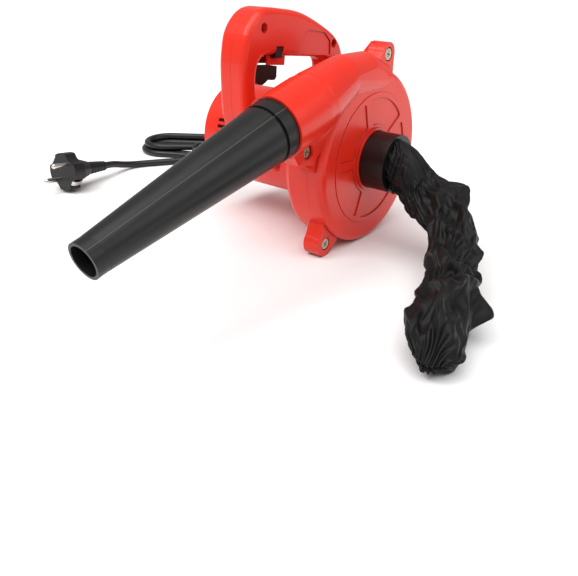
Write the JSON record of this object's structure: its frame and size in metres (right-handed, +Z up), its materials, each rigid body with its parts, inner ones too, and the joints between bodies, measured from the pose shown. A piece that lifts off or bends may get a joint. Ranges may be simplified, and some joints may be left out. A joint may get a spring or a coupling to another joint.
{
  "type": "car dryer blower",
  "caption": "Hand-held electric blower with a side fan case, tapered nozzle, D handle with trigger, cloth dust bag, mains lead and plug.",
  "frame": {"origin": "on the floor, under the middle of the blower and its bag (lead, coil and plug left out)", "axes": "+Z up from the floor the blower rests on, +Y along the motor axis from the bag side to the rear grille, -X the side the nozzle points to; the nozzle dips 13.8 degrees below level in this resting pose"},
  "size_m": [0.4181, 0.4796, 0.1716],
  "materials": {
    "red_plastic": "glossy moulded",
    "black_plastic": "satin moulded",
    "nylon_cloth": "thin crinkled nylon",
    "zinc_steel": "yellowish zinc plate",
    "bright_steel": "ground",
    "phenolic_black": "matte moulded",
    "nylon_black": "glass-filled nylon",
    "core_steel": "stacked sheet, varnished",
    "copper_wire": "enamelled winding wire",
    "copper_bars": "turned",
    "brass_sheet": "folded sheet",
    "carbon_block": "pressed carbon",
    "film_case": "moulded case",
    "black_rubber": "soft PVC, semi-matt",
    "nickel_pins": "nickel plate"
  },
  "bodies": {
    "housing": {"fan_case_front": "red_plastic", "fan_case_rear": "red_plastic", "housing_front": "red_plastic", "housing_rear": "red_plastic", "rest_foot": "red_plastic", "rear_grille": "red_plastic", "dust_bag": "nylon_cloth", "case_screws": "zinc_steel", "handle_screws": "zinc_steel", "trigger_pin": "bright_steel", "trigger_spring": "bright_steel", "switch_body": "phenolic_black", "bearing_front": "bright_steel", "bearing_rear": "bright_steel", "stator_core": "core_steel", "field_coils": "copper_wire", "bearing_bracket": "phenolic_black", "brush_holders": "brass_sheet", "carbon_brushes": "carbon_block", "brush_springs": "bright_steel", "suppressor": "film_case", "cord_clamp": "phenolic_black", "cord_guard": "black_rubber", "cord_lead": "black_rubber", "cord_hank": "black_rubber", "cord_end": "black_rubber", "plug_body": "black_rubber", "plug_pins": "nickel_pins"},
    "rotor": {"rotor_shaft": "bright_steel", "armature_core": "core_steel", "armature_windings": "copper_wire", "commutator": "copper_bars", "fan_impeller": "nylon_black", "fan_nut": "zinc_steel", "fan_washer": "zinc_steel"},
    "nozzle_body": {"nozzle": "black_plastic"},
    "collar": {"bag_collar": "black_plastic"},
    "trigger_body": {"trigger": "black_plastic"},
    "lock": {"lock_button": "black_plastic"}
  },
  "joints": [
    {"name": "rotor_spin", "type": "hinge", "parent": "housing", "child": "rotor", "pos_m": [0.0949, 0.0115, 0.0656], "axis": [0, -1, 0], "continuous": true},
    {"name": "nozzle_twist", "type": "hinge", "parent": "housing", "child": "nozzle_body", "pos_m": [-0.00634, 0.0115, 0.10656], "axis": [-0.9709, 0, -0.2393], "range_deg": [0, 35]},
    {"name": "collar_twist", "type": "hinge", "parent": "housing", "child": "collar", "pos_m": [0.0949, 0.0115, 0.0656], "axis": [0, -1, 0], "range_deg": [0, 30]},
    {"name": "trigger_pull", "type": "hinge", "parent": "housing", "child": "trigger_body", "pos_m": [0.03254, 0.0715, 0.13056], "axis": [0, -1, 0], "range_deg": [0, 7], "stiffness_Nm_per_rad": 0.8, "springref_deg": -8.59},
    {"name": "lock_push", "type": "slide", "parent": "housing", "child": "lock", "axis": [0, 1, 0], "range_m": [0, 0.0025], "stiffness_N_per_m": 300, "springref_m": -0.003}
  ]
}
